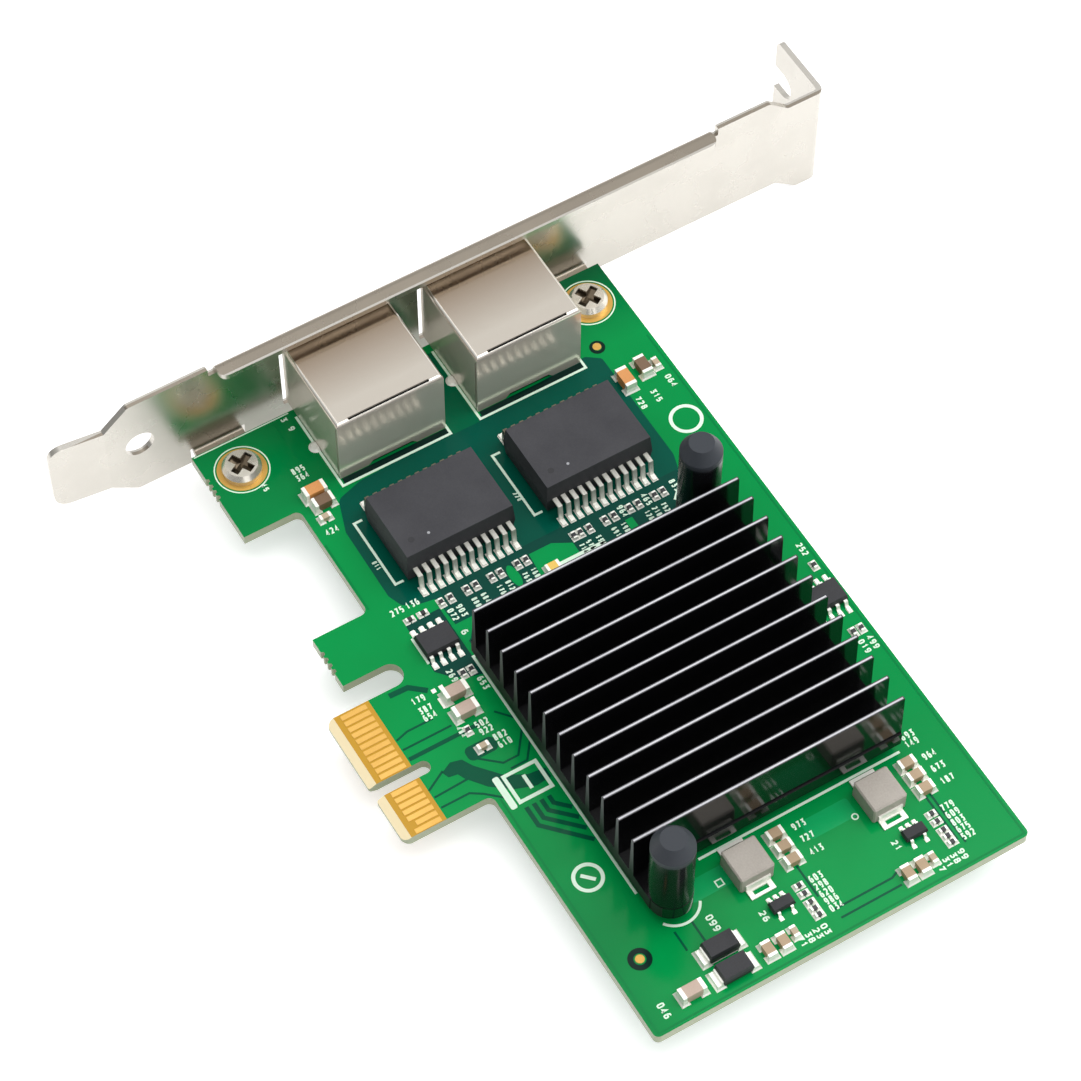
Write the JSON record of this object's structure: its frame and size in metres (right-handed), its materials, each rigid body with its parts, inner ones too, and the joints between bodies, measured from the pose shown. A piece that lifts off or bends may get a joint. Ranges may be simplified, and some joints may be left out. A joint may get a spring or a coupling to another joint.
{
  "type": "network interface card",
  "caption": "Short bus adapter card with shielded modular jacks side by side, pulse transformers, a finned heat sink on push pins and a full-height slot bracket.",
  "frame": {"origin": "tip line of the edge connector, at the centre of its key notch, on the board's component face", "axes": "+X away from the bracket along the board, +Y from the edge connector to the card's top edge, +Z off the component side"},
  "size_m": [0.117, 0.12, 0.0241],
  "materials": {
    "board": "green solder mask, semi-gloss",
    "gold": "gold plated, smooth",
    "plated_steel": "nickel plated, satin",
    "screw_steel": "nickel plated, bright",
    "shell_nickel": "bright tin plate",
    "black_plastic": "moulded, satin",
    "mould_black": "moulded epoxy, matt",
    "tin": "tinned, satin",
    "black_aluminium": "black anodised, glossy",
    "thermal_rubber": "soft, matt",
    "ferrite_grey": "pressed powder, matt",
    "orange_ceramic": "fired ceramic",
    "tan_ceramic": "fired ceramic",
    "brown_ceramic": "fired ceramic",
    "beige_ceramic": "fired ceramic",
    "resistor_black": "glazed film",
    "amber_plastic": "clear resin"
  },
  "bodies": {
    "root": {"circuit_board": "board", "edge_contacts": "gold", "screw_pads": "gold", "fiducials": "gold", "mounting_bracket": "plated_steel", "bracket_screws": "screw_steel", "port_shell_1": "shell_nickel", "port_shell_2": "shell_nickel", "port_housing_1": "black_plastic", "port_housing_2": "black_plastic", "port_contacts_1": "gold", "port_contacts_2": "gold", "transformer_body_1": "mould_black", "transformer_body_2": "mould_black", "transformer_leads_1": "tin", "transformer_leads_2": "tin", "shell_solder": "tin", "heat_sink": "black_aluminium", "push_pin_1": "black_plastic", "push_pin_2": "black_plastic", "controller_chip": "mould_black", "thermal_pad": "thermal_rubber", "memory_chip": "mould_black", "memory_chip_leads": "tin", "edge_chip": "mould_black", "edge_chip_leads": "tin", "inductor_bodies": "ferrite_grey", "inductor_terminals": "tin", "regulator_bodies": "mould_black", "regulator_leads": "tin", "diode_bodies": "mould_black", "diode_straps": "tin", "tall_capacitor_bodies": "orange_ceramic", "large_capacitor_bodies": "tan_ceramic", "medium_capacitor_bodies": "brown_ceramic", "small_capacitor_bodies": "beige_ceramic", "capacitor_ends": "tin", "resistor_bodies": "resistor_black", "indicator_body": "amber_plastic", "resistor_ends": "tin"}
  },
  "joints": []
}
